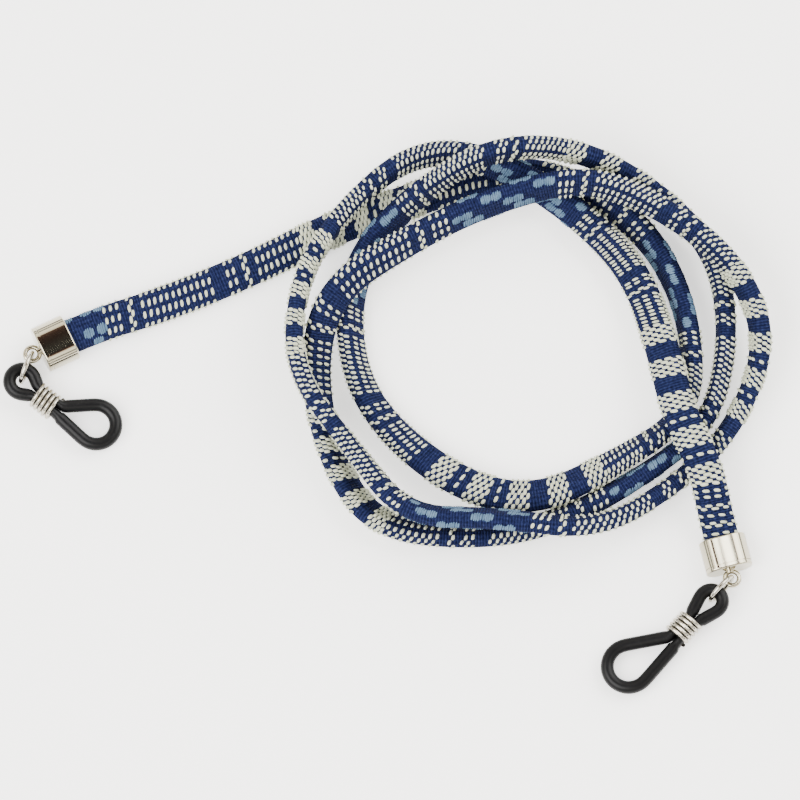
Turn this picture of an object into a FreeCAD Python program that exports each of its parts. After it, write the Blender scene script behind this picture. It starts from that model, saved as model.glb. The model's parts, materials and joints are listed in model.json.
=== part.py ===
"""Eyeglass retainer strap: a woven band with a capped end, a jump ring, a rubber loop and an adjuster coil
at each end. Millimetres. Z is up, the strap lies on Z = 0, and X is the long way across the bundle."""
import math
import os

import FreeCAD
import Part

V = FreeCAD.Vector

# Driving dimensions
BAND_WIDTH = 5.2          # woven cover, outside
BAND_THICKNESS = 2.6
COVER_WALL = 0.45
FILLER_DIAMETER = 1.3     # the cords that run inside the cover
FILLER_SPACING = 1.4
CAP_WIDTH = 7.1
CAP_HEIGHT = 4.4
CAP_LENGTH = 5.0
CAP_CORNER = 2.0          # radius of the cap's long edges
POCKET_DEPTH = 3.95       # the hole for the band's end
POCKET_PLAY = 0.02
BAND_INSERTION = 3.5
EYE_HOLE = 1.42           # cast eye on the end of the cap
EYE_WIRE = 0.72
EYE_REACH = 1.3           # from the cap's end face to the middle of the eye
RING_OUTSIDE = 5.4        # jump ring
RING_WIRE = 0.7
RING_GAP = 0.06
RUBBER_DIAMETER = 2.0     # the cord of the rubber loop
NECK_DIAMETER = 1.4       # the same cord where the coil pinches it
NECK_OFFSET = 0.73        # half the distance between the two pinched strands
NECK_LENGTH = 4.3
BIG_FLARE = 1.2           # radius that the strands leave the neck on, towards each lobe
SMALL_FLARE = 0.9
COIL_OUTSIDE = 4.2
COIL_WIRE = 0.6
COIL_PITCH = 0.72
COIL_TURNS = 5.25
COIL_MIDDLE = 2.3         # height of the coil's middle above the surface

# Heights worked out from those
BAND_MIDDLE = CAP_HEIGHT / 2
RING_RADIUS = (RING_OUTSIDE - RING_WIRE) / 2
RING_MIDDLE = RING_OUTSIDE / 2 + 0.05
RING_SPAN = 2 * RING_RADIUS
COIL_RADIUS = (COIL_OUTSIDE - COIL_WIRE) / 2

# Each end: the middle of the cap's mouth, then directions in degrees from +X, then the rubber loop's sizes.
# "reach" runs from the middle of the coil to the middle of a lobe; "aside" moves the big lobe off the axis.
ENDS = {
    "left": dict(mouth=(-45.7, 26.0), cap_angle=25.5, ring_angle=-111.5, loop_angle=-38.0, loop_tilt=5.5,
                 small_reach=4.7, small_radius=1.95, big_reach=7.9, big_radius=3.0, aside=1.8),
    "right": dict(mouth=(51.3, -5.06), cap_angle=104.5, ring_angle=-133.0, loop_angle=-134.0, loop_tilt=4.5,
                  small_reach=5.8, small_radius=1.8, big_reach=9.7, big_radius=3.25, aside=-2.1),
}

# The band's route from the left cap to the right cap: x, y, z and the roll of its width in degrees.
ROUTE = [
    # out of the left cap and over the top
    (-48.86, 24.49, 2.2, 0), (-42.5, 27.52, 2.2, 0), (-32.0, 30.9, 1.9, 12), (-19.0, 36.3, 1.9, 19),
    (-7.0, 42.6, 1.73, 19), (5.5, 47.1, 1.75, 13), (19.1, 52.0, 1.62, 14), (32.0, 48.3, 2.69, 45),
    # down the inside of the right bend and back along the bottom
    (42.0, 40.0, 2.6, 69), (47.0, 27.0, 2.7, 77), (46.7, 13.9, 2.5, 70), (35.4, 6.3, 2.7, 46),
    (23.3, 0.3, 2.8, 20), (11.7, 3.3, 2.4, 12), (0.2, 12.9, 2.52, 39), (-4.3, 23.3, 2.4, 58),
    # second turn, the highest at the top
    (-3.7, 36.4, 2.64, 51), (4.8, 46.0, 7.2, 73), (16.7, 52.7, 11.9, 85), (29.9, 53.6, 8.2, 87),
    (42.1, 47.5, 4.42, 84), (50.7, 38.5, 2.49, 80), (52.5, 25.4, 2.7, 80), (49.5, 12.1, 2.7, 78),
    (39.4, 4.3, 2.66, 68), (27.1, -2.6, 2.35, 54), (15.4, -5.0, 2.4, 50), (0.2, -3.5, 2.4, 46),
    # third turn, the widest on the right
    (-6.5, 5.9, 2.32, 54), (-9.8, 20.2, 3.2, 49), (-7.1, 31.7, 7.9, 44), (5.0, 39.6, 7.7, 61),
    (16.3, 45.0, 8.7, 69), (30.2, 48.7, 9.8, 70), (40.8, 45.3, 8.7, 75), (52.8, 36.6, 8.3, 76),
    (58.4, 25.1, 5.1, 75), (53.3, 11.7, 2.62, 75), (43.6, 2.3, 2.5, 75), (32.3, -5.1, 7.2, 68),
    (18.0, -3.2, 7.7, 62), (4.3, -2.7, 6.4, 63),
    # last turn, up the left side and down to the right cap
    (-3.5, 7.3, 7.2, 74), (-12.7, 18.9, 8.9, 91), (-12.0, 33.1, 7.3, 92), (-5.5, 44.1, 6.4, 90),
    (5.5, 53.8, 5.8, 82), (17.3, 52.3, 6.1, 60), (29.5, 45.1, 3.85, 51), (38.5, 35.8, 3.6, 44),
    (42.6, 23.5, 4.7, 21), (44.7, 13.7, 7.0, 4), (49.0, 4.7, 7.2, -3), (50.62, -2.43, 2.2, -0.5),
    (52.18, -8.45, 2.2, 0),
]


def unit(degrees):
    """Level direction at an angle from +X."""
    return V(math.cos(math.radians(degrees)), math.sin(math.radians(degrees)), 0)


# ---------------------------------------------------------------- band

def level_axes(along):
    """The level and the upright direction square to a direction of travel."""
    level = V(-along.y, along.x, 0).normalize()
    return level, along.cross(level)


def width_direction(along, roll):
    """Direction of the band's width, rolled about the direction of travel."""
    level, upright = level_axes(along)
    return level * math.cos(roll) + upright * math.sin(roll)


def roll_of(along, wide, near):
    """Roll of a width direction; half a turn looks the same, so it is the one nearest a given roll."""
    level, upright = level_axes(along)
    roll = math.atan2(wide.dot(upright), wide.dot(level))
    return roll - math.pi * round((roll - near) / math.pi)


def turned(vector, axis, angle):
    """A vector turned about an axis, in radians."""
    return FreeCAD.Rotation(axis, math.degrees(angle)).multVec(vector)


def route_stretches(route):
    """The route as straight runs, which twist evenly, and tangent arcs, which turn the section rigidly."""
    points = [V(x, y, z) for x, y, z, roll in route]
    rolls = [math.radians(roll) for x, y, z, roll in route]
    stretches = []
    here = points[0]
    roll = rolls[0]
    for number in range(1, len(points)):
        leg = points[number] - points[number - 1]
        along = V(leg).normalize()
        last = number == len(points) - 1
        if last:
            corner = points[number]
        else:
            next_leg = points[number + 1] - points[number]
            next_along = V(next_leg).normalize()
            turn = along.getAngle(next_along)
            setback = 0.45 * min(leg.Length, next_leg.Length)
            radius = setback / math.tan(turn / 2)
            corner = points[number] - along * setback
        wide = width_direction(along, rolls[number])
        stretches.append(("run", here, width_direction(along, roll), corner, wide, along, rolls[number] - roll))
        if last:
            break
        inward = (next_along - along).normalize()
        centre = points[number] + inward * (radius / math.cos(turn / 2))
        axis = along.cross(next_along).normalize()
        stretches.append(("arc", corner, wide, along, centre, axis, turn, radius))
        here = centre + turned(corner - centre, axis, turn)
        roll = roll_of(next_along, turned(wide, axis, turn), rolls[number])
    return stretches


def route_length(stretches):
    """Length along the runs and arcs."""
    length = 0
    for stretch in stretches:
        if stretch[0] == "run":
            length += (stretch[3] - stretch[1]).Length
        else:
            length += stretch[6] * stretch[7]
    return length


def stadium(half_flat, radius):
    """Closed outline of a flat band: two straight sides and two round edges."""
    side = half_flat + radius
    return [
        [(-half_flat, -radius), (half_flat, -radius)],
        [(half_flat, -radius), (side, 0), (half_flat, radius)],
        [(half_flat, radius), (-half_flat, radius)],
        [(-half_flat, radius), (-side, 0), (-half_flat, -radius)],
    ]


def circle_outline(offset, radius):
    """Closed outline of a round cord, off to one side of the band's middle, as two half circles."""
    return [
        [(offset + radius, 0), (offset, radius), (offset - radius, 0)],
        [(offset - radius, 0), (offset, -radius), (offset + radius, 0)],
    ]


def outline_edges(outline, centre, wide, along):
    """An outline's edges on the plane square to the direction of travel."""
    upright = along.cross(wide)
    edges = []
    for side in outline:
        corners = [centre + wide * a + upright * b for a, b in side]
        if len(corners) == 2:
            edges.append(Part.LineSegment(corners[0], corners[1]).toShape())
        else:
            edges.append(Part.Arc(corners[0], corners[1], corners[2]).toShape())
    return edges


def side_faces(stretches, outline):
    """The faces that an outline sweeps along the route."""
    faces = []
    for stretch in stretches:
        if stretch[0] == "run":
            kind, start, wide_start, end, wide_end, along, twist = stretch
            first = outline_edges(outline, start, wide_start, along)
            second = outline_edges(outline, end, wide_end, along)
            if abs(twist) < 1e-6:
                faces += [edge.extrude(end - start) for edge in first]
            else:
                faces += [Part.makeRuledSurface(a, b) for a, b in zip(first, second)]
        else:
            kind, start, wide, along, centre, axis, turn, radius = stretch
            edges = outline_edges(outline, start, wide, along)
            faces += [edge.revolve(centre, axis, math.degrees(turn)) for edge in edges]
    return faces


def swept_solid(stretches, outer, inner=None):
    """One closed solid along the whole route, hollow where an inner outline is given."""
    outlines = [outer] if inner is None else [outer, inner]
    faces = []
    for outline in outlines:
        for side in side_faces(stretches, outline):
            faces += side.Faces
    first = stretches[0]
    last = stretches[-1]
    for centre, wide, along in ((first[1], first[2], first[5]), (last[3], last[4], last[5])):
        ends = [Part.Face(Part.Wire(outline_edges(outline, centre, wide, along))) for outline in outlines]
        end = ends[0] if inner is None else ends[0].cut(ends[1])
        faces += end.Faces
    shell = Part.makeCompound(faces)
    shell.sewShape(1e-4)
    solid = Part.makeSolid(shell.Shells[0])
    if solid.Volume < 0:
        solid.reverse()
    return solid


# ---------------------------------------------------------------- end fittings

def placed(shape, angle, place, tilt=0.0):
    """A shape drawn along +X, dipped by the tilt, turned to an angle and moved to its place."""
    shape.rotate(V(0, 0, 0), V(0, 1, 0), tilt)
    shape.rotate(V(0, 0, 0), V(0, 0, 1), angle)
    shape.translate(place)
    return shape


def rounded_box(length, width, height, corner, start):
    """Box along +X from a start, centred on the axis, with its long edges rounded."""
    box = Part.makeBox(length, width, height, V(start, -width / 2, -height / 2))
    long_edges = [edge for edge in box.Edges if abs(edge.tangentAt(0).x) > 0.9]
    return box.makeFillet(corner, long_edges)


def stadium_prism(half_flat, radius, start, length):
    """Straight piece of the band's section along +X."""
    edges = outline_edges(stadium(half_flat, radius), V(start, 0, 0), V(0, 1, 0), V(1, 0, 0))
    return Part.Face(Part.Wire(edges)).extrude(V(length, 0, 0))


def end_cap():
    """Cast cup drawn with its mouth at X = 0 and its eye towards -X."""
    cup = rounded_box(CAP_LENGTH, CAP_WIDTH, CAP_HEIGHT, CAP_CORNER, -CAP_LENGTH)
    rims = [edge for edge in cup.Edges if abs(edge.BoundBox.XLength) < 0.001]
    cup = cup.makeFillet(0.25, rims)
    groove = rounded_box(0.14, CAP_WIDTH + 1, CAP_HEIGHT + 1, CAP_CORNER, 0.6 - CAP_LENGTH)
    groove = groove.cut(rounded_box(0.14, CAP_WIDTH - 0.2, CAP_HEIGHT - 0.2, CAP_CORNER, 0.6 - CAP_LENGTH))
    flat = (BAND_WIDTH - BAND_THICKNESS) / 2
    pocket = stadium_prism(flat, BAND_THICKNESS / 2 + POCKET_PLAY, -POCKET_DEPTH, POCKET_DEPTH + 1)
    eye = Part.makeTorus((EYE_HOLE + EYE_WIRE) / 2, EYE_WIRE / 2, V(-CAP_LENGTH - EYE_REACH, 0, 0))
    stub_length = EYE_REACH - EYE_HOLE / 2 - EYE_WIRE / 4 + 0.3
    stub = Part.makeCylinder(0.6, stub_length, V(0.3 - CAP_LENGTH - stub_length, 0, 0), V(1, 0, 0))
    return cup.cut(groove).cut(pocket).fuse([stub, eye]).removeSplitter()


def glue_plug():
    """Hardened glue between the band's end and the back of the cap's pocket."""
    flat = (BAND_WIDTH - BAND_THICKNESS) / 2
    return stadium_prism(flat, BAND_THICKNESS / 2, -POCKET_DEPTH, POCKET_DEPTH - BAND_INSERTION)


def jump_ring():
    """Round wire ring, upright, with its near wire on the Z axis, its far wire out along +X and a small gap."""
    ring = Part.makeTorus(RING_RADIUS, RING_WIRE / 2, V(RING_RADIUS, 0, 0), V(0, 1, 0))
    gap = Part.makeBox(RING_GAP, 2, 2, V(-RING_GAP / 2, -1, RING_RADIUS - 1))
    gap.rotate(V(0, 0, 0), V(0, 1, 0), 38)
    gap.translate(V(RING_RADIUS, 0, 0))
    return ring.cut(gap)


def cord_bend(start_radius, bend_centre, start_angle, sweep, bend_radius):
    """Round cord bent in the level plane about a centre, from an angle through a sweep, in degrees."""
    spot = bend_centre + unit(start_angle) * bend_radius
    square = unit(start_angle + 90)
    disc = Part.Face(Part.Wire(Part.makeCircle(start_radius, spot, square)))
    return disc.revolve(bend_centre, V(0, 0, 1), sweep)


def loop_half(side, reach, lobe_radius, aside, flare_radius):
    """One strand from the neck out to its lobe: flare, taper, then the angle at which the lobe takes over."""
    start = NECK_LENGTH / 2
    flare_side = NECK_OFFSET + flare_radius
    run = reach - start
    rise = flare_side - side * aside
    flare = math.asin((flare_radius + lobe_radius) / math.hypot(run, rise)) - math.atan2(rise, run)
    degrees = math.degrees(flare)
    neck_radius = NECK_DIAMETER / 2
    flare_centre = V(start, side * flare_side, 0)
    bend = cord_bend(neck_radius, flare_centre, -90 * side, side * degrees, flare_radius)
    foot = V(start + flare_radius * math.sin(flare), side * (flare_side - flare_radius * math.cos(flare)), 0)
    lobe_centre = V(reach, aside, 0)
    top = lobe_centre + V(-math.sin(flare), side * math.cos(flare), 0) * lobe_radius
    taper = Part.makeCone(neck_radius, RUBBER_DIAMETER / 2, (top - foot).Length, foot, top - foot)
    return [bend, taper], 90 + degrees


def rubber_loop(sizes):
    """Closed rubber cord pinched at its neck, drawn with the neck at the origin and the big lobe along +X."""
    neck_radius = NECK_DIAMETER / 2
    solids = []
    for side in (1, -1):
        start = V(-NECK_LENGTH / 2, side * NECK_OFFSET, 0)
        solids.append(Part.makeCylinder(neck_radius, NECK_LENGTH, start, V(1, 0, 0)))
    lobes = [
        (sizes["big_reach"], sizes["big_radius"], sizes["aside"], BIG_FLARE, False),
        (sizes["small_reach"], sizes["small_radius"], 0, SMALL_FLARE, True),
    ]
    for reach, radius, aside, flare_radius, back in lobes:
        upper, upper_angle = loop_half(1, reach, radius, aside, flare_radius)
        lower, lower_angle = loop_half(-1, reach, radius, aside, flare_radius)
        sweep = upper_angle + lower_angle
        lobe = cord_bend(RUBBER_DIAMETER / 2, V(reach, aside, 0), -lower_angle, sweep, radius)
        half = upper + lower + [lobe]
        if back:
            for solid in half:
                solid.rotate(V(0, 0, 0), V(0, 0, 1), 180)
        solids += half
    return solids[0].multiFuse(solids[1:]).removeSplitter()


def adjuster_coil():
    """Wire coil round the neck, drawn along +X and centred on the origin."""
    height = COIL_PITCH * COIL_TURNS
    path = Part.Wire(Part.makeHelix(COIL_PITCH, height, COIL_RADIUS).Edges)
    start = path.Edges[0].valueAt(path.Edges[0].FirstParameter)
    along = path.Edges[0].tangentAt(path.Edges[0].FirstParameter)
    section = Part.Wire(Part.makeCircle(COIL_WIRE / 2, start, along))
    coil = path.makePipeShell([section], True, True)
    coil.translate(V(0, 0, -height / 2))
    coil.rotate(V(0, 0, 0), V(0, 1, 0), 90)
    return coil


def end_nodes(name, sizes):
    """Every piece of one end, in place."""
    mouth = V(sizes["mouth"][0], sizes["mouth"][1], BAND_MIDDLE)
    eye = mouth - unit(sizes["cap_angle"]) * (CAP_LENGTH + EYE_REACH)
    near_wire = V(eye.x, eye.y, RING_MIDDLE)
    far_wire = near_wire + unit(sizes["ring_angle"]) * RING_SPAN
    coil_place = far_wire + unit(sizes["loop_angle"]) * sizes["small_reach"]
    coil_place.z = COIL_MIDDLE
    print(name, "eye", eye, "far wire", far_wire, "coil", coil_place)
    return {
        name + "_end_cap": placed(end_cap(), sizes["cap_angle"], mouth),
        name + "_glue_plug": placed(glue_plug(), sizes["cap_angle"], mouth),
        name + "_jump_ring": placed(jump_ring(), sizes["ring_angle"], near_wire),
        name + "_rubber_loop": placed(rubber_loop(sizes), sizes["loop_angle"], coil_place, sizes["loop_tilt"]),
        name + "_adjuster_coil": placed(adjuster_coil(), sizes["loop_angle"], coil_place, sizes["loop_tilt"]),
    }


# ---------------------------------------------------------------- build

def band_nodes():
    """The woven cover and the filler cords inside it."""
    stretches = route_stretches(ROUTE)
    length = route_length(stretches)
    radii = [round(stretch[7], 1) for stretch in stretches if stretch[0] == "arc"]
    flat = (BAND_WIDTH - BAND_THICKNESS) / 2
    radius = BAND_THICKNESS / 2
    hollow = radius - COVER_WALL
    wall_area = 4 * flat * (radius - hollow) + math.pi * (radius ** 2 - hollow ** 2)
    nodes = {"woven_sheath": swept_solid(stretches, stadium(flat, radius), stadium(flat, hollow))}
    print("band length", round(length, 1), "arc radii", radii)
    print("cover volume", round(nodes["woven_sheath"].Volume, 1), "expected", round(wall_area * length, 1))
    for number in range(3):
        offset = FILLER_SPACING * (number - 1)
        filler = swept_solid(stretches, circle_outline(offset, FILLER_DIAMETER / 2))
        nodes["filler_cord_%d" % (number + 1)] = filler
        expected = math.pi * FILLER_DIAMETER ** 2 / 4 * length
        print("filler volume", round(filler.Volume, 1), "expected", round(expected, 1))
    return nodes


def main():
    """Build every node and write each to its own STEP file."""
    os.makedirs("parts", exist_ok=True)
    nodes = band_nodes()
    for name, sizes in ENDS.items():
        nodes.update(end_nodes(name, sizes))
    for name, shape in nodes.items():
        box = shape.BoundBox
        print("%-22s valid %s solids %d volume %.2f" % (name, shape.isValid(), len(shape.Solids), shape.Volume))
        print("   x %.2f %.2f  y %.2f %.2f  z %.2f %.2f" % (
            box.XMin, box.XMax, box.YMin, box.YMax, box.ZMin, box.ZMax))
        shape.exportStep("parts/" + name + ".step")


main()
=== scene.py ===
"""Eyeglass retainer strap on a pale floor: woven band, metal end fittings, rubber temple loops. In metres."""

import json
import math
import random

import bpy
import numpy as np
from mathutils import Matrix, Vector


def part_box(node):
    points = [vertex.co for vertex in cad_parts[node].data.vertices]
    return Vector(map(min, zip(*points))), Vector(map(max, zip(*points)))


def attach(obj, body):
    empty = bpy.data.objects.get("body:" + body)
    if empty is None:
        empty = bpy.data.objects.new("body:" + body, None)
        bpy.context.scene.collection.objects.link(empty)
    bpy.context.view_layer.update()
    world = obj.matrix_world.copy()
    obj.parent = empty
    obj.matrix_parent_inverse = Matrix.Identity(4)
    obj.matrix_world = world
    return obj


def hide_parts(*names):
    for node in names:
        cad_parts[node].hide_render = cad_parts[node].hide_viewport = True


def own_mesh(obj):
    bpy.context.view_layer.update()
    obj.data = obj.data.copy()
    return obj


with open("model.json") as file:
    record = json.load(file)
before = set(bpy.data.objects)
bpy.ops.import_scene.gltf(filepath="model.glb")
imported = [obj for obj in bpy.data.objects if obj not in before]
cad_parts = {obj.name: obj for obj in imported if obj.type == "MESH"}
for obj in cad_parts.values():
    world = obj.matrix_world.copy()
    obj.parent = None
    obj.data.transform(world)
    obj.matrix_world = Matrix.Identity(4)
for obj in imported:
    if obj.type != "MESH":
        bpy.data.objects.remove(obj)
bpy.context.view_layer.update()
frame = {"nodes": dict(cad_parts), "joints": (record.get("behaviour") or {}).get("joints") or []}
MM = 0.001

# ---------------------------------------------------------------- sizes, in millimetres

BAND_FLAT = 1.3            # half the flat part of the band's width
BAND_ROUND = 1.3           # half its thickness, the radius of its edges
GIRTH = 4 * BAND_FLAT + 2 * math.pi * BAND_ROUND
BLOCK_PART = 0.55          # how much of each block's share of the band is cream
FLOAT_COLUMNS = 8          # floats in one full row, round the band
COLUMN = GIRTH / FLOAT_COLUMNS
BAND_STEP = 0.45           # between the rings of points of the band's tube
BAND_SIDES = 32            # points in each of those rings
GRAIN_STEPS = (7, 4)       # points of one float along and across its yarn
SLANT = 0.11               # how far the rows lean along the band for each millimetre across it
PATCH_STEP = 1.7           # from one sky patch to the next
CAP_ALONG = 3.5            # how much of the band's end is inside a cap
NECK_OFFSET = 0.73         # half the distance between the rubber strands inside a coil
COIL_HALF = 1.9            # half the coil's length
NECK_SQUEEZE = {"small": 0.70, "big": 0.715}   # half width of a strand inside the coil, for each lobe
NECK_TALL = 1.12           # half height of a strand inside the coil
FLARE = 1.0                # radius of the turn that takes a strand from the coil to its lobe
STRAND_STEP = 0.15         # between the rings of points of a rubber strand
STRAND_SIDES = 20          # points in each of those rings
CAP_ANGLES = {"left": 25.5, "right": 104.5}   # from +X to the direction in which the band leaves each cap

# The rubber loops: from the middle of the coil to each lobe's middle, and the lobes' radii.
LOOPS = {
    "left": dict(small_reach=4.7, small_radius=1.95, big_reach=7.9, big_radius=3.0, aside=1.8),
    "right": dict(small_reach=5.8, small_radius=1.8, big_reach=9.7, big_radius=3.25, aside=-2.1),
}

# The band's route, left cap to right cap: x, y, z and the roll of its width in degrees.
ROUTE = [
    (-48.86, 24.49, 2.2, 0), (-42.5, 27.52, 2.2, 0), (-32.0, 30.9, 1.9, 12), (-19.0, 36.3, 1.9, 19),
    (-7.0, 42.6, 1.73, 19), (5.5, 47.1, 1.75, 13), (19.1, 52.0, 1.62, 14), (32.0, 48.3, 2.69, 45),
    (42.0, 40.0, 2.6, 69), (47.0, 27.0, 2.7, 77), (46.7, 13.9, 2.5, 70), (35.4, 6.3, 2.7, 46),
    (23.3, 0.3, 2.8, 20), (11.7, 3.3, 2.4, 12), (0.2, 12.9, 2.52, 39), (-4.3, 23.3, 2.4, 58),
    (-3.7, 36.4, 2.64, 51), (4.8, 46.0, 7.2, 73), (16.7, 52.7, 11.9, 85), (29.9, 53.6, 8.2, 87),
    (42.1, 47.5, 4.42, 84), (50.7, 38.5, 2.49, 80), (52.5, 25.4, 2.7, 80), (49.5, 12.1, 2.7, 78),
    (39.4, 4.3, 2.66, 68), (27.1, -2.6, 2.35, 54), (15.4, -5.0, 2.4, 50), (0.2, -3.5, 2.4, 46),
    (-6.5, 5.9, 2.32, 54), (-9.8, 20.2, 3.2, 49), (-7.1, 31.7, 7.9, 44), (5.0, 39.6, 7.7, 61),
    (16.3, 45.0, 8.7, 69), (30.2, 48.7, 9.8, 70), (40.8, 45.3, 8.7, 75), (52.8, 36.6, 8.3, 76),
    (58.4, 25.1, 5.1, 75), (53.3, 11.7, 2.62, 75), (43.6, 2.3, 2.5, 75), (32.3, -5.1, 7.2, 68),
    (18.0, -3.2, 7.7, 62), (4.3, -2.7, 6.4, 63), (-3.5, 7.3, 7.2, 74), (-12.7, 18.9, 8.9, 91),
    (-12.0, 33.1, 7.3, 92), (-5.5, 44.1, 6.4, 90), (5.5, 53.8, 5.8, 82), (17.3, 52.3, 6.1, 60),
    (29.5, 45.1, 3.85, 51), (38.5, 35.8, 3.6, 44), (42.6, 23.5, 4.7, 21), (44.7, 13.7, 7.0, 4),
    (49.0, 4.7, 7.2, -3), (50.62, -2.43, 2.2, -0.5), (52.18, -8.45, 2.2, 0),
]

# ---------------------------------------------------------------- the woven pattern, in millimetres

# Rows: o dots, O dots half a column over, z zigzag, x and X close dots of a cream block, s dots between
# blocks, . plain navy. The floats in each column for each kind: rows along, columns over, length, width and
# height. A width of None follows the spacing of the rows.
ROW_FLOATS = {
    "o": [(0, 0.5, 1.08, None, 0.32)],
    "O": [(0, 0, 1.08, None, 0.32)],
    "z": [(-0.25, 0.5, 1.06, None, 0.32), (0.25, 0, 1.06, None, 0.32)],
    "x": [(0, 0.5, 1.17, 0.56, 0.35)],
    "X": [(0, 0, 1.17, 0.56, 0.35)],
    "s": [(0, 0, 1.15, 0.54, 0.34)],
    ".": [],
}
QUARTER = "OOO.z." + "o" * 12 + "..oo.z." + "o" * 8   # rows from a sky part to the cream blocks
BLOCK = "xXxXxXx"          # rows of one cream block
BLOCKS = 5                 # blocks between two quarters
DOTTED_GAPS = (2, 3)       # blocks that a row of dots follows

# The pattern between two sky parts reads the same both ways. Distances along the band: end of the sky part,
# start and end of the cream blocks, start of the next sky part.
PATTERN = [
    (8.8, 40.7, 62.2, 97.0), (113.0, 140.0, 170.0, 196.0), (213.0, 240.0, 268.0, 297.0),
    (313.0, 347.0, 370.0, 406.0), (423.0, 453.0, 480.0, 515.0), (534.0, 562.0, 584.0, 612.0),
    (628.0, 648.6, 677.3, None),
]
# The rows beside the right cap.
LAST_ROWS = [("o", 675.5), ("o", 676.4), ("z", 678.2), ("o", 679.6), ("z", 681.1), ("o", 682.6)]
# Sky patches beside the left cap: distance from the cap's mouth and column.
FIRST_PATCHES = [(0.1, 1), (3.0, 1), (5.0, 1), (2.7, 7), (4.8, 7), (3.9, 6), (1.4, 3), (3.2, 4), (4.9, 4)]


# ---------------------------------------------------------------- camera, light, floor

CAMERA_AIM = Vector((3.4, 16.8, 0)) * MM
CAMERA_ELEVATION = math.radians(76)
CAMERA_DISTANCE = 0.6
VIEW_WIDTH = 119.2 * MM
LIGHT_AIM = Vector((0.005, 0.02, 0))
# Light and dark bands of the room, which the polished metal mirrors: the sine of the elevation and colour.
ROOM_BANDS = [
    (0.0, (0.95, 0.95, 0.95)), (0.02, (0.04, 0.04, 0.04)), (0.16, (0.07, 0.07, 0.06)),
    (0.22, (1.20, 1.17, 1.10)), (0.36, (1.20, 1.18, 1.12)), (0.42, (0.12, 0.115, 0.10)),
    (0.52, (0.14, 0.13, 0.115)), (0.58, (1.30, 1.27, 1.18)), (0.82, (1.15, 1.08, 0.96)),
    (0.90, (0.16, 0.09, 0.07)), (0.94, (0.020, 0.007, 0.007)), (1.0, (0.006, 0.008, 0.008)),
]
ROOM_STRENGTH = 2.5
FLOOR_HALF = 3             # metres
FLOOR_DROP = 0.2 * MM      # below the surface that the strap lies on, so that nothing flickers
FLOOR_GLOW = 1.0


def fill_ramp(ramp, stops):
    """The stops of a colour ramp: (position, colour) pairs."""
    elements = ramp.color_ramp.elements
    while len(elements) < len(stops):
        elements.new(1.0)
    for element, (position, colour) in zip(elements, stops):
        element.position = position
        element.color = (*colour, 1)


def make_camera():
    """Level with the long side of the bundle, looking down steeply."""
    data = bpy.data.cameras.new("camera")
    data.type = "ORTHO"
    data.ortho_scale = VIEW_WIDTH
    data.clip_start = 0.01
    data.clip_end = 10
    camera = bpy.data.objects.new("camera", data)
    towards = Vector((0, -math.cos(CAMERA_ELEVATION), math.sin(CAMERA_ELEVATION)))
    camera.location = CAMERA_AIM + towards * CAMERA_DISTANCE
    camera.rotation_euler = (math.pi / 2 - CAMERA_ELEVATION, 0, 0)
    bpy.context.scene.collection.objects.link(camera)
    bpy.context.scene.camera = camera


def area_light(name, place, size, power):
    """Square soft light aimed at the middle of the bundle."""
    data = bpy.data.lights.new(name, "AREA")
    data.size = size
    data.energy = power
    light = bpy.data.objects.new(name, data)
    light.location = place
    light.rotation_euler = (LIGHT_AIM - Vector(place)).to_track_quat("-Z", "Y").to_euler()
    bpy.context.scene.collection.objects.link(light)


def make_world():
    """Soft room light in level bands, bright and dark, and dark overhead."""
    world = bpy.data.worlds.new("room")
    world.use_nodes = True
    nodes = world.node_tree.nodes
    links = world.node_tree.links
    background = nodes["Background"]
    coordinates = nodes.new("ShaderNodeTexCoord")
    split = nodes.new("ShaderNodeSeparateXYZ")
    ramp = nodes.new("ShaderNodeValToRGB")
    fill_ramp(ramp, ROOM_BANDS)
    links.new(coordinates.outputs["Generated"], split.inputs[0])
    links.new(split.outputs["Z"], ramp.inputs["Fac"])
    links.new(ramp.outputs["Color"], background.inputs["Color"])
    background.inputs["Strength"].default_value = ROOM_STRENGTH
    bpy.context.scene.world = world


def make_floor():
    """Plain pale floor."""
    mesh = bpy.data.meshes.new("floor")
    corners = [(-FLOOR_HALF, -FLOOR_HALF, 0), (FLOOR_HALF, -FLOOR_HALF, 0),
               (FLOOR_HALF, FLOOR_HALF, 0), (-FLOOR_HALF, FLOOR_HALF, 0)]
    mesh.from_pydata(corners, [], [(0, 1, 2, 3)])
    floor = bpy.data.objects.new("floor", mesh)
    floor.location.z = -FLOOR_DROP
    bpy.context.scene.collection.objects.link(floor)
    material = bpy.data.materials.new("floor_pale")
    material.use_nodes = True
    shader = material.node_tree.nodes["Principled BSDF"]
    shader.inputs["Base Color"].default_value = (0.96, 0.96, 0.96, 1)
    shader.inputs["Roughness"].default_value = 0.9
    shader.inputs["Emission Color"].default_value = (1, 1, 1, 1)
    shader.inputs["Emission Strength"].default_value = FLOOR_GLOW
    mesh.materials.append(material)


# ---------------------------------------------------------------- materials

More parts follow.
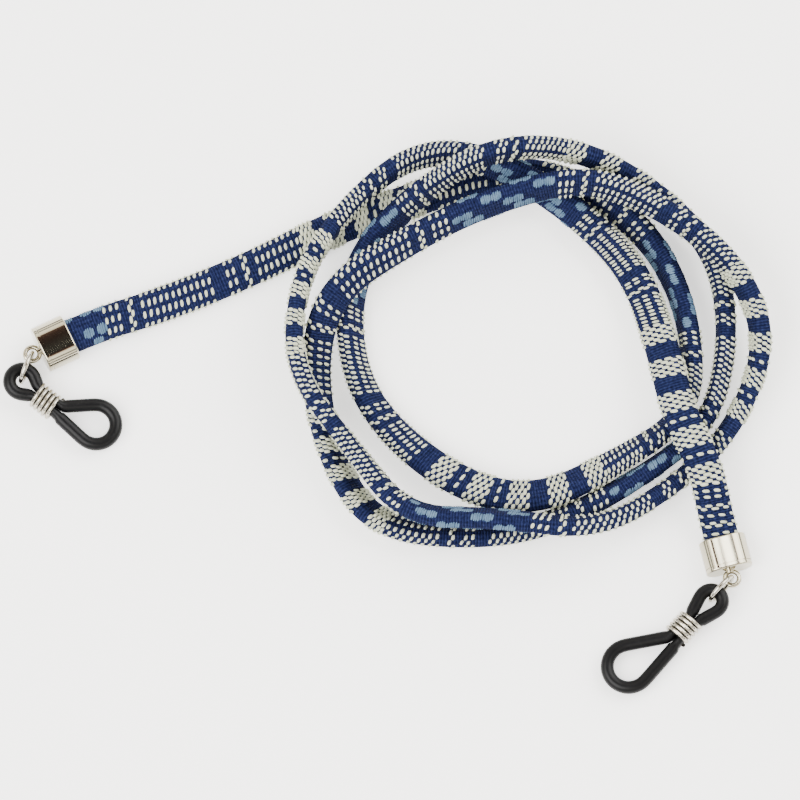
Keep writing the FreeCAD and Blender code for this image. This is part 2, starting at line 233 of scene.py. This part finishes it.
class Shader:
    """A node material built step by step round its Principled shader."""

    def __init__(self, name, roughness, metallic=0.0):
        self.material = bpy.data.materials.new(name)
        self.material.use_nodes = True
        self.nodes = self.material.node_tree.nodes
        self.links = self.material.node_tree.links
        self.principled = self.nodes["Principled BSDF"]
        self.principled.inputs["Roughness"].default_value = roughness
        self.principled.inputs["Metallic"].default_value = metallic

    def node(self, kind, **inputs):
        """A node with the given values or links on its inputs."""
        made = self.nodes.new(kind)
        for key, value in inputs.items():
            self.feed(value, made.inputs[key.replace("_", " ")])
        return made

    def feed(self, value, socket):
        """A link where the value is an output, otherwise a constant."""
        if isinstance(value, bpy.types.NodeSocket):
            self.links.new(value, socket)
        else:
            socket.default_value = value

    def coordinates(self, source, scale):
        """Object or UV coordinates, stretched by a scale on each axis."""
        place = self.node("ShaderNodeTexCoord")
        return self.node("ShaderNodeMapping", Vector=place.outputs[source], Scale=scale).outputs["Vector"]

    def noise(self, vector, scale, detail=3.0, roughness=0.55):
        """Soft noise from 0 to 1."""
        settings = dict(Vector=vector, Scale=scale, Detail=detail, Roughness=roughness)
        return self.node("ShaderNodeTexNoise", **settings).outputs["Fac"]

    def ramp(self, value, stops):
        """Colours laid out over a value: (position, colour) pairs."""
        made = self.node("ShaderNodeValToRGB", Fac=value)
        fill_ramp(made, stops)
        return made.outputs["Color"]

    def mix(self, factor, first, second):
        """Two colours mixed."""
        made = self.nodes.new("ShaderNodeMix")
        made.data_type = "RGBA"
        self.feed(factor, made.inputs[0])
        self.feed(first, made.inputs[6])
        self.feed(second, made.inputs[7])
        return made.outputs[2]

    def math(self, operation, first, second=0.0):
        """One sum of two numbers."""
        made = self.nodes.new("ShaderNodeMath")
        made.operation = operation
        self.feed(first, made.inputs[0])
        self.feed(second, made.inputs[1])
        return made.outputs[0]

    def times(self, value, factor):
        """One product."""
        return self.math("MULTIPLY", value, factor)

    def plus(self, total, value, factor=None):
        """A total and a value, or the value times a factor."""
        return self.math("ADD", total, value if factor is None else self.times(value, factor))

    def spread(self, value, low, high):
        """A value from 0 to 1 spread over a range."""
        made = self.node("ShaderNodeMapRange", Value=value, To_Min=low, To_Max=high)
        return made.outputs["Result"]

    def bump(self, height, distance, strength=1.0):
        """Relief on the shader's normal."""
        made = self.node("ShaderNodeBump", Height=height, Distance=distance, Strength=strength)
        self.links.new(made.outputs["Normal"], self.principled.inputs["Normal"])

    def put(self, socket, value):
        """A value or link on the principled shader."""
        self.feed(value, self.principled.inputs[socket])


def yarn_material(name, dark, middle, light):
    """Soft cotton yarn: fine fibres along its length and uneven dye. UVs are in millimetres."""
    shader = Shader(name, 0.85)
    fibre = shader.noise(shader.coordinates("UV", (1.2, 26.0, 1.0)), 1.0, 4.0, 0.6)
    twist = shader.noise(shader.coordinates("UV", (3.0, 9.0, 1.0)), 1.0, 2.0)
    blotch = shader.noise(shader.coordinates("Object", (1, 1, 1)), 700.0, 3.0)
    tone = shader.math("MULTIPLY_ADD", fibre, 0.6)
    tone.node.inputs[2].default_value = 0.1
    tone = shader.plus(tone, blotch, 0.35)
    shader.put("Base Color", shader.ramp(tone, [(0.28, dark), (0.52, middle), (0.78, light)]))
    shader.bump(shader.plus(shader.times(fibre, 0.6), twist, 0.5), 0.00010, 0.9)
    shader.put("Roughness", shader.spread(fibre, 0.75, 0.95))
    shader.put("Specular IOR Level", 0.08)
    return shader.material


def ground_material():
    """Navy weft threads that lie close side by side across the band. UVs are in millimetres."""
    shader = Shader("navy_ground", 0.9)
    place = shader.coordinates("UV", (1, 1, 1))
    sway = shader.noise(shader.coordinates("UV", (0.8, 0.8, 1.0)), 1.0, 2.0)
    threads = shader.node("ShaderNodeTexWave", Vector=place, Scale=0.72, Distortion=1.3, Detail=2.0)
    threads.inputs["Detail Scale"].default_value = 2.2
    threads.bands_direction = "X"
    warp = shader.node("ShaderNodeTexWave", Vector=place, Scale=0.45, Distortion=2.0, Detail=2.0)
    warp.bands_direction = "Y"
    fibre = shader.noise(shader.coordinates("UV", (22.0, 3.0, 1.0)), 1.0, 4.0, 0.65)
    fuzz = shader.noise(shader.coordinates("Object", (1, 1, 1)), 5200.0, 2.0)
    # The colour is partly random tone (fibres, sway, grains) and partly painted shade: the ridge that raises
    # the threads in the bump also makes them lighter, and the grooves between them darker.
    ridge = shader.plus(shader.times(threads.outputs["Fac"], 0.55), warp.outputs["Fac"], 0.25)
    tone = shader.plus(shader.times(fibre, 0.5), ridge, 0.4)
    tone = shader.plus(tone, sway, 0.10)
    grains = shader.noise(shader.coordinates("Object", (1, 1, 1)), 2400.0, 2.0, 0.5)
    tone = shader.plus(tone, shader.spread(grains, -0.28, 0.32))
    colour = shader.ramp(tone, [(0.20, (0.0020, 0.0030, 0.010)), (0.46, (0.0072, 0.0105, 0.040)),
                                (0.72, (0.0180, 0.0250, 0.080)), (0.95, (0.070, 0.085, 0.150))])
    shader.put("Base Color", colour)
    shader.bump(shader.plus(shader.plus(ridge, fibre, 0.35), fuzz, 0.12), 0.00028, 1.0)
    shader.put("Specular IOR Level", 0.04)
    return shader.material


def nickel_material(name, colour, roughness, pitting, crown=None):
    """Polished nickel plate with faint scuffs, tarnish in patches and orange peel.

    A crown is for a cap, whose broad faces swell a little: the place of the cap's middle line across the cap
    and the line's direction. A cap is also smoother, because scuffs on it would catch the small lights.
    """
    shader = Shader(name, roughness, 1.0)
    place = shader.coordinates("Object", (1, 1, 1))
    scuff = shader.noise(shader.coordinates("Object", (1, 6, 1)), 900.0, 5.0, 0.7)
    patch = shader.noise(place, 260.0, 3.0)
    warm = [min(1.0, c * f) for c, f in zip(colour, (1.0, 0.955, 0.86))]
    shader.put("Base Color", shader.mix(shader.spread(patch, 0.0, 0.8), (*colour, 1), (*warm, 1)))
    least, most, rough = (0.85, 1.05, 0.05) if crown else (0.6, 1.8, 1.0)
    shader.put("Roughness", shader.spread(scuff, roughness * least, roughness * most))
    peel = shader.noise(place, 1400.0, 2.0)
    relief = shader.plus(shader.times(peel, 0.4 * rough), scuff, 0.2 * rough)
    if crown:
        middle, angle = crown
        turned = shader.node("ShaderNodeMapping", Vector=place, Rotation=(0, 0, -angle))
        turned.inputs["Location"].default_value = (0, -middle, 0)
        split = shader.node("ShaderNodeSeparateXYZ", Vector=turned.outputs["Vector"])
        across = shader.times(split.outputs["Y"], 1 / MM)
        relief = shader.plus(relief, shader.times(across, across), -1.9)
    shader.bump(relief, 0.00002, pitting)
    return shader.material


def rubber_material():
    """Smooth black rubber: soft sheen, faint mould grain and dust."""
    shader = Shader("black_rubber", 0.4)
    place = shader.coordinates("Object", (1, 1, 1))
    grain = shader.noise(place, 3800.0, 4.0, 0.6)
    dust = shader.noise(place, 900.0, 5.0, 0.75)
    speck = shader.ramp(dust, [(0.60, (0.0025, 0.0026, 0.003)), (0.74, (0.012, 0.012, 0.013))])
    shader.put("Base Color", speck)
    shader.put("Roughness", shader.spread(grain, 0.24, 0.42))
    shader.bump(grain, 0.00002, 0.6)
    shader.put("Specular IOR Level", 0.14)
    return shader.material


def glue_material():
    """Hardened amber glue: cloudy, with small bubbles."""
    shader = Shader("glue_amber", 0.35)
    place = shader.coordinates("Object", (1, 1, 1))
    cloud = shader.noise(place, 900.0, 4.0)
    shader.put("Base Color", shader.ramp(cloud, [(0.3, (0.40, 0.33, 0.18)), (0.7, (0.66, 0.58, 0.38))]))
    shader.bump(shader.noise(place, 4000.0, 2.0), 0.00003, 0.5)
    return shader.material


# ---------------------------------------------------------------- band

def spline_points(points):
    """Close points along the smooth curve that these control points make."""
    data = bpy.data.curves.new("route", "CURVE")
    data.dimensions = "3D"
    data.resolution_u = 16
    spline = data.splines.new("NURBS")
    spline.points.add(len(points) - 1)
    for point, place in zip(spline.points, points):
        point.co = (*place, 1.0)
    spline.order_u = 3
    spline.use_endpoint_u = True
    curve = bpy.data.objects.new("route", data)
    bpy.context.scene.collection.objects.link(curve)
    bpy.context.view_layer.update()
    mesh = bpy.data.meshes.new_from_object(curve)
    found = np.array([vertex.co for vertex in mesh.vertices])
    bpy.data.objects.remove(curve)
    bpy.data.curves.remove(data)
    bpy.data.meshes.remove(mesh)
    return found


class Skin:
    """The band's surface: a place for each distance along it, distance round it and height off it."""

    def __init__(self):
        self.line = spline_points([(x * MM, y * MM, z * MM) for x, y, z, roll in ROUTE]) / MM
        rolls = np.radians(spline_points([(roll, 0, 0) for x, y, z, roll in ROUTE])[:, 0])
        steps = np.linalg.norm(np.diff(self.line, axis=0), axis=1)
        self.along = np.concatenate([[0], np.cumsum(steps)])
        self.length = self.along[-1]
        tangent = np.gradient(self.line, self.along, axis=0)
        tangent /= np.linalg.norm(tangent, axis=1)[:, None]
        level = np.stack([-tangent[:, 1], tangent[:, 0], np.zeros(len(tangent))], axis=1)
        level /= np.linalg.norm(level, axis=1)[:, None]
        upright = np.cross(tangent, level)
        self.wide = level * np.cos(rolls)[:, None] + upright * np.sin(rolls)[:, None]
        self.out = np.cross(tangent, self.wide)

    def at(self, values, along):
        """Values given at the line's points, read at any distance along it."""
        return np.stack([np.interp(along, self.along, values[:, axis]) for axis in range(3)], axis=-1)

    def place(self, along, around, height=0.0):
        """Places in metres. Around is 0 at the middle of the upper face and grows towards the width."""
        around = (np.asarray(around) + GIRTH / 2) % GIRTH - GIRTH / 2
        side = np.sign(around)
        reach = np.abs(around)
        turn = np.clip((reach - BAND_FLAT) / BAND_ROUND, 0, math.pi)
        past = np.clip(reach - BAND_FLAT - math.pi * BAND_ROUND, 0, None)
        rounding = BAND_ROUND + height
        across = side * (np.minimum(reach, BAND_FLAT) - past + rounding * np.sin(turn))
        lift = rounding * np.cos(turn)
        sideways = self.at(self.wide, along) * across[..., None]
        outwards = self.at(self.out, along) * lift[..., None]
        return (self.at(self.line, along) + sideways + outwards) * MM


def mesh_piece(name, vertices, faces, material, uvs=None):
    """A smooth mesh object in the scene; UVs are one pair for each vertex."""
    mesh = bpy.data.meshes.new(name)
    mesh.from_pydata([tuple(v) for v in vertices], [], [tuple(f) for f in faces])
    mesh.polygons.foreach_set("use_smooth", [True] * len(mesh.polygons))
    mesh.materials.append(material)
    if uvs is not None:
        layer = mesh.uv_layers.new(name="UVMap")
        corner = np.zeros(len(mesh.loops), dtype=np.int32)
        mesh.loops.foreach_get("vertex_index", corner)
        layer.data.foreach_set("uv", np.asarray(uvs, dtype=np.float32)[corner].ravel())
    mesh.update()
    piece = bpy.data.objects.new(name, mesh)
    bpy.context.scene.collection.objects.link(piece)
    return piece


def band_ground(skin, material):
    """The woven cover: one tube, closed at its ends."""
    rings = int(skin.length / BAND_STEP)
    along = np.linspace(0, skin.length, rings)
    around = (np.arange(BAND_SIDES + 1) / BAND_SIDES - 0.5) * GIRTH
    grid_along, grid_around = np.meshgrid(along, around, indexing="ij")
    vertices = skin.place(grid_along, grid_around).reshape(-1, 3)
    wide = BAND_SIDES + 1
    faces = []
    for start in range(0, (rings - 1) * wide, wide):
        for corner in range(start, start + BAND_SIDES):
            faces.append((corner, corner + 1, corner + wide + 1, corner + wide))
    last = (rings - 1) * wide
    faces.append(range(BAND_SIDES))
    faces.append(range(last + BAND_SIDES - 1, last - 1, -1))
    uvs = np.stack([grid_along.ravel(), grid_around.ravel()], axis=1)
    return mesh_piece("woven_band", vertices, faces, material, uvs)


def float_grid():
    """A rice grain's outline: along, across and height, each relative to its size."""
    grid_long, grid_wide = np.meshgrid(*(np.linspace(-1, 1, steps) for steps in GRAIN_STEPS), indexing="ij")
    taper = 1 - 0.5 * np.abs(grid_long) ** 3
    crown = np.clip(1 - np.abs(grid_long) ** 2.6, 0, 1) ** 0.5 * np.clip(1 - grid_wide ** 2, 0, 1) ** 0.5
    return grid_long, grid_wide * taper, crown


def floats_piece(name, skin, floats, material):
    """Yarn floats lying across the band: each is (along, around, length, width, height, slant)."""
    grain_long, grain_wide, crown = float_grid()
    long_steps, wide_steps = GRAIN_STEPS
    data = np.array(floats)[:, :, None, None]
    around = data[:, 1] + grain_long * data[:, 2] / 2
    along = data[:, 0] + grain_wide * data[:, 3] / 2 + grain_long * data[:, 5]
    height = crown * data[:, 4] - 0.05
    along = np.clip(along, 0, skin.length)
    vertices = skin.place(along, around, height).reshape(-1, 3)
    patch = [
        (a * wide_steps + b, a * wide_steps + b + 1, (a + 1) * wide_steps + b + 1, (a + 1) * wide_steps + b)
        for a in range(long_steps - 1) for b in range(wide_steps - 1)
    ]
    count = long_steps * wide_steps
    faces = (np.array(patch)[None] + np.arange(len(floats))[:, None, None] * count).reshape(-1, 4)
    uv_long = grain_long * data[:, 2] / 2 + data[:, 0] * 1.7
    uv_wide = grain_wide * data[:, 3] / 2 + data[:, 1] * 2.3 + data[:, 0]
    uvs = np.stack([uv_long.ravel(), uv_wide.ravel()], axis=1)
    return mesh_piece(name, vertices, faces.tolist(), material, uvs)


def dotted_rows(start, end):
    """The rows from a sky part, at the start, to the blocks: kind, distance along the band and spacing."""
    step = (end - start) / len(QUARTER)
    return [(kind, start + (row + 0.5) * step, abs(step)) for row, kind in enumerate(QUARTER)]


def block_rows(start, end):
    """Rows of the cream blocks, with a row of dots in two of the gaps."""
    share = (end - start) / BLOCKS
    step = share * BLOCK_PART / len(BLOCK)
    rows = []
    for block in range(BLOCKS):
        rows += [(kind, start + block * share + (row + 0.5) * step, 1) for row, kind in enumerate(BLOCK)]
        if block in DOTTED_GAPS:
            rows.append(("s", start + (block + BLOCK_PART + (1 - BLOCK_PART) / 2) * share, 1))
    return rows


def pattern_rows():
    """All rows of dots, zigzags and blocks: kind, distance along the band and spacing."""
    rows = []
    for sky_end, blocks_start, blocks_end, sky_start in PATTERN:
        rows += dotted_rows(sky_end, blocks_start)
        rows += block_rows(blocks_start, blocks_end)
        if sky_start:
            rows += dotted_rows(sky_start, blocks_end)
    return rows + [(kind, along, 1) for kind, along in LAST_ROWS]


def leaning(along, around):
    """The rows lean one way on the upper face and back again on the lower one."""
    around = (around + GIRTH / 2) % GIRTH - GIRTH / 2
    if abs(around) > GIRTH / 4:
        around = math.copysign(GIRTH / 2, around) - around
    return along + SLANT * around


def on_face(around):
    """How far a place is on one of the band's two broad faces, 0 at its narrow edges and 1 on a face."""
    from_edge = abs(abs((around + GIRTH / 2) % GIRTH - GIRTH / 2) - GIRTH / 4)
    return min(1.0, max(0.0, from_edge / COLUMN - 0.35))


def cream_floats(dice):
    """Cream floats of the dots, zigzags, blocks and sparse dots."""
    floats = []

    def add(along, column, length, width, height):
        around = column * COLUMN + dice.uniform(-0.05, 0.05)
        grow = dice.uniform(0.92, 1.08)
        place = leaning(along, around) + dice.uniform(-0.05, 0.05)
        long_way = length * (0.80 + 0.24 * on_face(around)) * grow
        floats.append((place, around, long_way, width, height * grow, dice.uniform(0.06, 0.13)))

    for kind, along, spacing in pattern_rows():
        wide = 0.24 + 0.29 * spacing
        for column in range(FLOAT_COLUMNS):
            for shift, over, length, width, height in ROW_FLOATS[kind]:
                add(along + shift * spacing, column + over, length, width or wide, height)
        if kind == "o":
            for edge in (2, 6):
                add(along + spacing / 2, edge, 0.85, 0.9 * wide, 0.32)
    return floats


def sky_patch(along, column, dice):
    """One rounded sky patch: long threads side by side, the middle ones longest."""
    around = (column + 0.5) * COLUMN
    place = leaning(along, around)
    longest = dice.uniform(1.75, 2.2) * (0.75 + 0.25 * on_face(around))
    floats = []
    for thread in (-2, -1, 0, 1, 2):
        length = longest * (1 - 0.075 * thread * thread) + dice.uniform(-0.08, 0.08)
        beside = place + thread * 0.32 + dice.uniform(-0.03, 0.03)
        middle = around + dice.uniform(-0.06, 0.06)
        floats.append((beside, middle, length, 0.38, 0.22, dice.uniform(0.04, 0.12)))
    return floats


def sky_floats(dice):
    """Sky blue patches: pairs in each column, each column's pairs two steps on from the last column's."""
    floats = []
    for distance, column in FIRST_PATCHES:
        floats += sky_patch(CAP_ALONG + distance, column, dice)
    for before, after in zip(PATTERN, PATTERN[1:]):
        start = before[3] + 0.3
        room = after[0] - before[3] - 0.6
        count = round(room / PATCH_STEP)
        step = room / count
        for place in range(count):
            for column in range(FLOAT_COLUMNS):
                if (place + 2 * column) % 5 < 2:
                    floats += sky_patch(start + (place + 0.5) * step, column, dice)
    return floats


def make_band():
    """The band and its pattern, which goes from one cap into the other."""
    skin = Skin()
    band = band_ground(skin, ground_material())
    dice = random.Random(7)
    cream = yarn_material("cream_yarn", (0.15, 0.16, 0.12), (0.44, 0.46, 0.35), (0.67, 0.69, 0.54))
    sky = yarn_material("sky_yarn", (0.022, 0.045, 0.085), (0.065, 0.115, 0.185), (0.15, 0.22, 0.30))
    first = CAP_ALONG - 0.3
    last = skin.length - CAP_ALONG + 0.4
    patterned = [item for item in cream_floats(dice) if first < item[0] < last]
    patches = [item for item in sky_floats(dice) if first < item[0] < last]
    pieces = [
        floats_piece("cream_floats", skin, patterned, cream),
        floats_piece("sky_floats", skin, patches, sky),
    ]
    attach(band, "strap")
    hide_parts("woven_sheath", "filler_cord_1", "filler_cord_2", "filler_cord_3")
    for piece in pieces:
        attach(piece, "strap")
    print("band length", round(skin.length, 1), "floats", len(patterned), len(patches))


# ---------------------------------------------------------------- rubber loops and metal fittings

def strand_line(reach, radius, aside, start):
    """Centre line of one lobe and its two strands, from the coil round the lobe and back, evenly spaced."""
    points = []
    for side in (1, -1):
        run = reach - COIL_HALF
        rise = NECK_OFFSET + FLARE - side * aside
        turn = math.asin((FLARE + radius) / math.hypot(run, rise)) - math.atan2(rise, run)
        half = [(start, side * NECK_OFFSET)]
        for step in range(6):
            angle = turn * step / 5
            away = side * (NECK_OFFSET + FLARE * (1 - math.cos(angle)))
            half.append((COIL_HALF + FLARE * math.sin(angle), away))
        for step in range(13):
            angle = (math.pi / 2 + turn) - (math.pi / 2 + turn) * step / 12
            half.append((reach + radius * math.cos(angle), aside + side * radius * math.sin(angle)))
        points += half if side == 1 else half[-2::-1]
    line = np.array(points)
    walked = np.concatenate([[0], np.cumsum(np.linalg.norm(np.diff(line, axis=0), axis=1))])
    even = np.linspace(0, walked[-1], int(walked[-1] / STRAND_STEP) + 1)
    line = np.stack([np.interp(even, walked, line[:, axis]) for axis in range(2)], axis=1)
    for _ in range(14):
        line[1:-1] = 0.25 * line[:-2] + 0.5 * line[1:-1] + 0.25 * line[2:]
    return line


def rubber_piece(name, side, line, outward, pinch, material):
    """Round rubber cord along a line in a loop's own plane, squeezed tall and narrow inside the coil."""
    low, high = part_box(side + "_adjuster_coil")
    middle = (Vector(low) + Vector(high)) / 2
    joint = next(item for item in frame["joints"] if item["name"] == side + "_coil_slide")
    axis = Vector(joint["axis"]).normalized()
    across = Vector((0, 0, 1)).cross(axis).normalized()
    up = axis.cross(across)
    tangent = np.gradient(line, axis=0)
    tangent /= np.linalg.norm(tangent, axis=1)[:, None]
    outside = np.clip((line[:, 0] - COIL_HALF + 0.3) / 1.3, 0, 1)
    outside = outside * outside * (3 - 2 * outside)
    narrow = pinch + (1.0 - pinch) * outside
    crotch = np.maximum(np.abs(line[:, 1]), pinch) + np.clip(0.4 * (line[:, 0] - COIL_HALF - 0.8), 0, 1)
    narrow = np.minimum(narrow, crotch)
    tall = NECK_TALL - (NECK_TALL - 1) * outside
    around = np.arange(STRAND_SIDES) / STRAND_SIDES * 2 * math.pi
    vertices = []
    for (x, y), (along_x, along_y), wide, height in zip(line, tangent, narrow, tall):
        for angle in around:
            sideways = wide * math.cos(angle)
            spot = axis * (x - along_y * sideways) * outward + across * (y + along_x * sideways)
            vertices.append(middle + (spot + up * height * math.sin(angle)) * MM)
    faces = []
    for start in range(0, len(vertices) - STRAND_SIDES, STRAND_SIDES):
        for step in range(STRAND_SIDES):
            following = (step + 1) % STRAND_SIDES
            faces.append((start + step, start + following,
                          start + STRAND_SIDES + following, start + STRAND_SIDES + step))
    faces.append(tuple(range(STRAND_SIDES - 1, -1, -1)))
    faces.append(tuple(range(len(vertices) - STRAND_SIDES, len(vertices))))
    if outward < 0:
        faces = [face[::-1] for face in faces]
    piece = mesh_piece(name, vertices, faces, material)
    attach(piece, side + "_loop")
    return piece, axis, middle


def make_rubber_loop(side, material):
    """A loop in two pieces: neck and small lobe, and the big lobe."""
    sizes = LOOPS[side]
    small = strand_line(sizes["small_reach"], sizes["small_radius"], 0, -2.0)
    small_piece = rubber_piece(side + "_small_lobe", side, small, -1, NECK_SQUEEZE["small"], material)[0]
    big = strand_line(sizes["big_reach"], sizes["big_radius"], sizes["aside"], 0.6)
    big_piece, axis, middle = rubber_piece(side + "_big_lobe", side, big, 1, NECK_SQUEEZE["big"], material)
    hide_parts(side + "_rubber_loop")
    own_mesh(big_piece)


def finish_metal(nodes, material):
    """A better material on CAD nodes whose shape stays."""
    for name in nodes:
        for slot in frame["nodes"][name].material_slots:
            slot.material = material


def make_fittings():
    """Nickel caps, rings and coils, the glue inside the caps, and the rubber loops."""
    for side, angle in CAP_ANGLES.items():
        low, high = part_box(side + "_end_cap")   # metres
        turn = math.radians(angle)
        middle = (low[1] + high[1]) / 2 * math.cos(turn) - (low[0] + high[0]) / 2 * math.sin(turn)
        cap = nickel_material(side + "_cap_nickel", (0.44, 0.41, 0.32), 0.13, 0.8, (middle, turn))
        finish_metal([side + "_end_cap"], cap)
    wire = nickel_material("wire_nickel", (0.42, 0.40, 0.35), 0.10, 0.25)
    finish_metal(["left_jump_ring", "right_jump_ring", "left_adjuster_coil", "right_adjuster_coil"], wire)
    finish_metal(["left_glue_plug", "right_glue_plug"], glue_material())
    rubber = rubber_material()
    for side in LOOPS:
        make_rubber_loop(side, rubber)


make_camera()
make_band()
make_fittings()
make_world()
make_floor()
area_light("key", (-0.35, -0.25, 0.55), 0.6, 10.0)
area_light("fill", (0.45, 0.30, 0.45), 0.6, 6.5)
area_light("glint_left", (0.020, 0.067, 0.30), 0.03, 0.036)
area_light("glint_right", (0.076, 0.067, 0.30), 0.05, 0.10)
